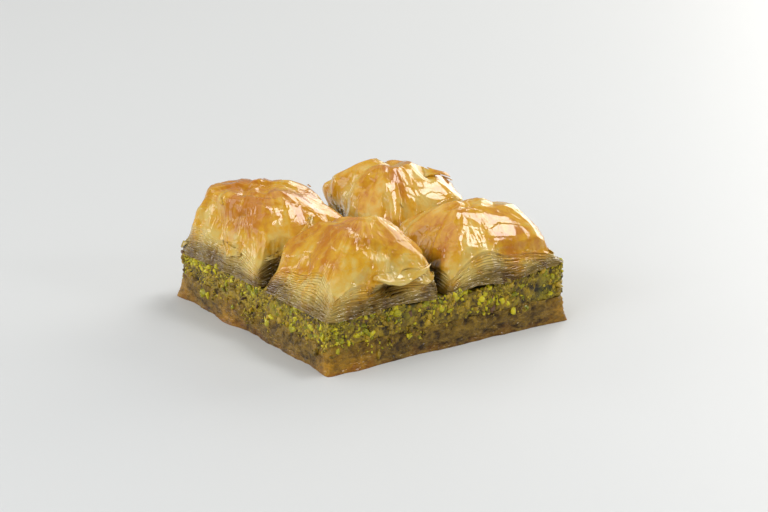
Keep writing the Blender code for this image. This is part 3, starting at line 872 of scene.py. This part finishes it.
def side_places(draw, kind, count):
    """Seeded places for crumbs on the four sides of the nut layer, bunched as chopped nuts are."""
    placed = 0
    while placed < count:
        turned = Matrix.Rotation(draw.randrange(4) * math.pi / 2, 3, "Z")
        radius = mix(*kind.radii, draw.random() ** 2)
        along = draw.uniform(-1, 1) * (FILLING_HALF - 0.6 * radius)
        spot = turned @ Vector((FILLING_HALF, along, 0))
        top = FILLING_TOP + nut_swell(spot.x, spot.y)
        spilt = SPILL * max(0.0, 0.5 + ripple(spot, 9 * MM, 14.0))
        spilt += NUT_SPILL * near_any(spot, NUT_SPILLS, NUT_SPILL_SPREAD)
        spilt = min(FILLING_FOOT - 1.5 * MM, spilt) * draw.random()
        spot.z = max(1.4 * radius, mix(FILLING_FOOT - spilt, top + OVER_RIM, draw.random() ** 0.65))
        fresh = 0.4 * near_any(spot, (FRESH_CORNER,), FRESH_SPREAD)
        if draw.random() > SCATTERED + fresh + BUNCHED * ripple(spot, 6 * MM, 31 * kind.radii[1] / MM):
            continue
        placed += 1
        stand = nut_relief(spot)[0] * ease(spot.z, 1.5 * MM, 5.5 * MM)
        stand += BASE_DRAW_IN * max(0.0, 1 - (spot.z / FILLING_FOOT) ** 2)
        stand -= radius * draw.uniform(0.1, 0.7)
        yield spot + turned @ Vector((stand, 0, 0)), radius


def cut_places(draw, kind, count):
    """Seeded places for crumbs on top of the nuts, where the two cuts lay them open."""
    for i in range(count):
        radius = min(0.9 * MM, mix(*kind.radii, draw.random() ** 1.7))
        along = draw.uniform(-1, 1) * (FILLING_HALF - radius)
        off = draw.uniform(-0.5, 0.5)
        if i % 2:
            yield Vector((CUT_X + off * CUT_X_WIDTH, along, FILLING_TOP)), radius
        else:
            yield Vector((along, CUT_Y + off * CUT_Y_WIDTH, FILLING_TOP)), radius


def crumb(place, radius, kind, draw):
    """One chopped bit: a lump with its own dents and flat knife faces, turned its own way."""
    bm = bmesh.new()
    tint = bm.verts.layers.float.new("tint")
    turned = Euler([draw.uniform(0, math.tau) for _ in range(3)]).to_matrix()
    width, thickness = draw.uniform(kind.flatness, 1.0), draw.uniform(kind.flatness, 1.0) * kind.flatness
    squash = Matrix.Diagonal((1.0, width, thickness))
    bmesh.ops.create_icosphere(bm, subdivisions=kind.fineness, radius=1)
    shade, start = draw.random(), draw.uniform(0, 50)
    faces = [Vector([draw.gauss(0, 1) for _ in range(3)]).normalized() for _ in range(kind.cuts)]
    for vert in bm.verts:
        point = vert.co * (1 + CRUMB_DENTS * noise.noise(vert.co * 1.3 + Vector((start, 0, 0))))
        for face in faces:
            point -= face * max(0.0, point.dot(face) - KNIFE_FACE)
        vert.co = place + turned @ (squash @ point) * radius * BEFORE_CUTTING
        vert[tint] = shade
    return bm


def scatter(kind, draw, in_cuts, material):
    """All crumbs of one kind as one piece."""
    places = [*side_places(draw, kind, kind.count), *cut_places(draw, kind, in_cuts)]
    parts = [crumb(place, radius, kind, draw) for place, radius in places]
    add_piece(kind.name, join_all(parts, ("tint",)), material)


def colour(code):
    """A linear colour from an sRGB hex code."""
    parts = [int(code[i:i + 2], 16) / 255 for i in (1, 3, 5)]
    return (*[p / 12.92 if p <= 0.04045 else ((p + 0.055) / 1.055) ** 2.4 for p in parts], 1.0)


def add(tree, kind, inputs=None, output=0, **settings):
    """Add one node with its settings and links. Gives the output asked for, by name or number."""
    made = tree.nodes.new("ShaderNode" + kind)
    for name, value in settings.items():
        setattr(made, name, value)
    for socket, value in (inputs or {}).items():
        if isinstance(value, bpy.types.NodeSocket):
            tree.links.new(value, made.inputs[socket])
        else:
            made.inputs[socket].default_value = value
    return made.outputs[output]


# Numbers of the sockets of a Mix node set to colours
MIX_FACTOR, MIX_A, MIX_B, MIX_RESULT = 0, 6, 7, 2


def new_material(name, plain):
    """A material whose shader has the plain values given, with its tree and that shader."""
    material = bpy.data.materials.new(name)
    material.use_nodes = True
    shader = material.node_tree.nodes["Principled BSDF"]
    for socket, value in plain.items():
        shader.inputs[socket].default_value = value
    return material, material.node_tree, shader


def glazed_filo():
    """Baked filo brushed with butter and syrup: a clear wet glaze over thin, light-filled leaves."""
    material, tree, shader = new_material("glazed_filo", {
        "IOR": 1.47, "Specular IOR Level": 0.12, "Coat Weight": 1.0, "Coat Roughness": 0.08,
        "Subsurface Weight": 0.12, "Subsurface Radius": (1.0, 0.6, 0.2), "Subsurface Scale": 1.2 * MM})
    where = add(tree, "TexCoord", output="Object")
    browning, edge, soak = [add(tree, "Attribute", output="Fac", attribute_name=trait) for trait in TRAITS]
    mottle = add(tree, "TexNoise", {"Vector": where, "Scale": 1 / (2.2 * MM), "Detail": 5, "Roughness": 0.6})
    baked = add(tree, "MapRange", {"Value": mottle, "From Min": 0.3, "From Max": 0.7,
                                   "To Min": -0.26, "To Max": 0.26})
    depth = add(tree, "Math", {0: browning, 1: baked}, operation="ADD")
    to_gold = add(tree, "MapRange", {"Value": depth, "From Min": 0.0, "From Max": 0.45})
    to_amber = add(tree, "MapRange", {"Value": depth, "From Min": 0.45, "From Max": 0.95})
    soaked = add(tree, "Mix", {MIX_FACTOR: to_gold, MIX_A: colour("#806624"), MIX_B: colour("#4E3406")},
                 MIX_RESULT, data_type="RGBA")
    wet = add(tree, "Math", {0: soak, 1: 0.9}, operation="MULTIPLY")
    # Paler leaf edges, partly a painted highlight, and painted shade in gaps, cuts and the pocket
    to_pale_edge_and_highlight = add(tree, "MapRange", {"Value": edge, "From Min": 0.6, "From Max": 1.0, "To Max": 0.45})
    to_gap_shade = add(tree, "MapRange", {"Value": edge, "From Max": 0.35, "To Min": 0.92, "To Max": 0.0})
    shade = colour("#E0C268")
    for share, over in ((to_gold, colour("#DFA71E")), (to_amber, colour("#C67C0A")), (wet, soaked),
                        (to_pale_edge_and_highlight, colour("#E8D088")), (to_gap_shade, colour("#3E2C06"))):
        shade = add(tree, "Mix", {MIX_FACTOR: share, MIX_A: shade, MIX_B: over}, MIX_RESULT, data_type="RGBA")
    tree.links.new(shade, shader.inputs["Base Color"])
    gloss = add(tree, "MapRange", {"Value": mottle, "From Min": 0.35, "From Max": 0.65,
                                   "To Min": 0.2, "To Max": 0.42})
    tree.links.new(gloss, shader.inputs["Roughness"])
    upright = add(tree, "Mapping", {"Vector": where, "Scale": (1.0, 1.0, 0.3)})
    fibre = add(tree, "TexNoise", {"Vector": upright, "Scale": 1 / (0.55 * MM), "Detail": 3})
    crinkle = add(tree, "Bump", {"Height": mottle, "Strength": 0.35, "Distance": 0.2 * MM})
    fine = add(tree, "Bump", {"Height": fibre, "Strength": 0.35, "Distance": 0.1 * MM, "Normal": crinkle})
    tree.links.new(fine, shader.inputs["Normal"])
    return material


def meal_colours(tree, where, dark, light):
    """Ground and chopped nuts in syrup: each chunk has its own tone, dark between: partly syrup, partly
    painted shade.
    """
    tone = add(tree, "Attribute", output="Fac", attribute_name="browning")
    edge = add(tree, "Attribute", output="Fac", attribute_name="edge")
    grain = add(tree, "TexNoise", {"Vector": where, "Scale": 1 / (0.8 * MM), "Detail": 4, "Roughness": 0.75})
    mixed = add(tree, "Math", {0: tone, 1: grain}, operation="ADD")
    level = add(tree, "MapRange", {"Value": mixed, "From Min": 0.6, "From Max": 1.3})
    meal = add(tree, "Mix", {MIX_FACTOR: level, MIX_A: colour(dark), MIX_B: colour(light)},
               MIX_RESULT, data_type="RGBA")
    # The gap colour is partly dark syrup and partly painted shade
    gap = add(tree, "MapRange", {"Value": edge, "From Min": 0.05, "From Max": 0.4,
                                 "To Min": 0.9, "To Max": 0.0})
    return meal, gap, grain


def pressed_nuts():
    """Finely chopped pistachio pressed in syrup: moist chunks of many browns and greens, dark between: partly
    syrup, partly painted shade.
    """
    material, tree, shader = new_material("pressed_pistachio_meal", {
        "Roughness": 0.35, "Specular IOR Level": 0.35, "Coat Weight": 0.2, "Coat Roughness": 0.12})
    where = add(tree, "TexCoord", output="Object")
    fresh = add(tree, "Attribute", output="Fac", attribute_name="soak")
    shade, gap, grain = meal_colours(tree, where, "#38290A", "#B4941C")
    greener = add(tree, "Math", {0: fresh, 1: 0.45}, operation="MULTIPLY")
    for share, over in ((greener, colour("#8C8C08")), (gap, colour("#160F02"))):
        shade = add(tree, "Mix", {MIX_FACTOR: share, MIX_A: shade, MIX_B: over}, MIX_RESULT, data_type="RGBA")
    tree.links.new(shade, shader.inputs["Base Color"])
    bump = add(tree, "Bump", {"Height": grain, "Strength": 1.0, "Distance": 0.35 * MM})
    tree.links.new(bump, shader.inputs["Normal"])
    return material


def nut_material(name, dark, light, roughness):
    """Cut nut flesh: waxy and slightly see-through, each bit with its own shade."""
    material, tree, shader = new_material(name, {
        "Roughness": roughness, "Specular IOR Level": 0.25, "Coat Weight": 0.3, "Coat Roughness": 0.12,
        "Subsurface Weight": 0.1, "Subsurface Radius": (0.8, 0.8, 0.2), "Subsurface Scale": 0.8 * MM})
    where = add(tree, "TexCoord", output="Object")
    tint = add(tree, "Attribute", output="Fac", attribute_name="tint")
    speckle = add(tree, "TexNoise", {"Vector": where, "Scale": 1 / (0.5 * MM), "Detail": 3})
    shade = add(tree, "Math", {0: tint, 1: speckle}, operation="ADD")
    level = add(tree, "MapRange", {"Value": shade, "From Min": 0.4, "From Max": 1.3})
    flesh = add(tree, "Mix", {MIX_FACTOR: level, MIX_A: colour(dark), MIX_B: colour(light)},
                MIX_RESULT, data_type="RGBA")
    tree.links.new(flesh, shader.inputs["Base Color"])
    bump = add(tree, "Bump", {"Height": speckle, "Strength": 0.4, "Distance": 0.15 * MM})
    tree.links.new(bump, shader.inputs["Normal"])
    return material


def soaked_filo():
    """Filo full of syrup: brown and glassy, nutty above, and amber where syrup has pooled."""
    material, tree, shader = new_material("syrup_soaked_filo", {
        "IOR": 1.48, "Roughness": 0.3, "Specular IOR Level": 0.2, "Coat Weight": 0.3, "Coat Roughness": 0.1,
        "Subsurface Weight": 0.06, "Subsurface Radius": (1.0, 0.7, 0.2), "Subsurface Scale": 1.2 * MM})
    where = add(tree, "TexCoord", output="Object")
    pooled = add(tree, "Attribute", output="Fac", attribute_name="soak")
    meal, gap, grain = meal_colours(tree, where, "#4A3206", "#AC8828")
    flat = add(tree, "Mapping", {"Vector": where, "Scale": (1.0, 1.0, 1.8)})
    streak = add(tree, "TexNoise", {"Vector": flat, "Scale": 1 / (2.4 * MM), "Detail": 6, "Roughness": 0.65})
    cloud = add(tree, "TexNoise", {"Vector": where, "Scale": 1 / (5 * MM), "Detail": 3})
    uneven = add(tree, "Math", {0: cloud, 1: 9 * MM, 2: -4.5 * MM}, operation="MULTIPLY_ADD")
    height = add(tree, "SeparateXYZ", {"Vector": where}, "Z")
    level = add(tree, "Math", {0: height, 1: uneven}, operation="ADD")
    tone = add(tree, "MapRange", {"Value": streak, "From Min": 0.38, "From Max": 0.66})
    nutty = add(tree, "MapRange", {"Value": level, "From Min": 2.5 * MM, "From Max": 5.5 * MM, "To Max": 0.9})
    patchy = add(tree, "MapRange", {"Value": streak, "From Min": 0.4, "From Max": 0.6,
                                    "To Min": 0.4, "To Max": 0.95})
    pool = add(tree, "Math", {0: pooled, 1: patchy}, operation="MULTIPLY")
    low = add(tree, "MapRange", {"Value": level, "From Max": 1.6 * MM, "To Min": 0.85, "To Max": 0.0})
    clear = add(tree, "MapRange", {"Value": pooled, "To Min": 0.35})
    lip = add(tree, "Math", {0: low, 1: clear}, operation="MULTIPLY")
    shade = colour("#402A06")
    # The gap colour between nut chunks is partly dark syrup and partly painted shade
    for share, over in ((tone, colour("#AA8634")), (nutty, meal), (gap, colour("#2E2004")),
                        (pool, colour("#C8901C")), (lip, colour("#9C5E08"))):
        shade = add(tree, "Mix", {MIX_FACTOR: share, MIX_A: shade, MIX_B: over}, MIX_RESULT, data_type="RGBA")
    tree.links.new(shade, shader.inputs["Base Color"])
    soft = add(tree, "Bump", {"Height": streak, "Strength": 1.0, "Distance": 0.9 * MM})
    bump = add(tree, "Bump", {"Height": grain, "Strength": 1.0, "Distance": 0.35 * MM, "Normal": soft})
    tree.links.new(bump, shader.inputs["Normal"])
    return material


def pale_floor():
    """A smooth pale tabletop with a slight sheen."""
    material = new_material("pale_tabletop", {"Base Color": colour("#DEE0E0"), "Roughness": 0.5})[0]
    bm = bmesh.new()
    bmesh.ops.create_grid(bm, x_segments=1, y_segments=1, size=3.0)
    floor = mesh_object("floor", bm, material)


def softbox(name, place, size, energy, tint="#FFFFFF"):
    """A rectangular studio light, aimed at the portion."""
    lamp = bpy.data.lights.new(name, "AREA")
    lamp.shape = "RECTANGLE"
    lamp.size, lamp.size_y = size
    lamp.energy = energy
    lamp.color = colour(tint)[:3]
    light = put_in_scene(name, lamp)
    light.location = place
    aim = Vector((0, 0, AIM_HEIGHT)) - Vector(place)
    light.rotation_euler = aim.to_track_quat("-Z", "Y").to_euler()


def light_studio():
    """A pale world and six softboxes, each with its place, its width and height in metres, and its watts."""
    world = bpy.data.worlds.new("studio")
    bpy.context.scene.world = world
    world.use_nodes = True
    background = world.node_tree.nodes["Background"]
    background.inputs["Color"].default_value = colour("#F6F6F6")
    background.inputs["Strength"].default_value = 0.33
    softbox("key_softbox", (1.05, 0.32, 0.42), (1.1, 0.75), 8.3, "#FFFBF4")
    softbox("high_softbox", (0.45, -0.2, 0.95), (0.36, 0.26), 3.0)
    softbox("overhead_softbox", (-0.35, 0.5, 1.4), (1.6, 1.2), 5.4)
    softbox("fill_left", (-0.88, -0.22, 0.45), (0.8, 0.6), 3.6)
    softbox("rim_left", (-0.75, 0.85, 0.38), (0.5, 0.4), 2)
    softbox("front_glint", (0.45, -0.85, 0.5), (0.15, 0.15), 1.0)
    bpy.context.scene.view_settings.view_transform = "Standard"


def place_camera():
    """The photograph's view: 18 degrees down, 34 degrees round, from a long lens."""
    lens = bpy.data.cameras.new("camera")
    lens.sensor_width = 36.0
    lens.lens = 114.84
    camera = put_in_scene("camera", lens)
    camera.location = (-0.36833, -0.54867, 0.23135)
    camera.rotation_euler = (math.radians(90 - 18.097), 0, math.radians(-34.227))
    bpy.context.scene.camera = camera


def main():
    place_camera()
    light_studio()
    pale_floor()
    filo = glazed_filo()
    for name, dome in DOMES.items():
        make_top(name, dome, filo)
    make_sheets(filo)
    make_base(soaked_filo())
    make_filling(pressed_nuts())
    draw = random.Random(4)
    scatter(KERNEL_BITS, draw, 40, nut_material("pistachio_kernel", "#5A6406", "#E0D028", 0.25))
    scatter(BROWN_BITS, draw, 40, nut_material("syrup_brown_pistachio", "#443208", "#C2A02C", 0.3))
    scatter(MEAL_BITS, draw, 260, nut_material("pistachio_meal_grains", "#342806", "#CEB634", 0.3))
    scatter(SKIN_BITS, draw, 20, nut_material("pistachio_skin", "#3A2412", "#7C5A40", 0.45))


main()
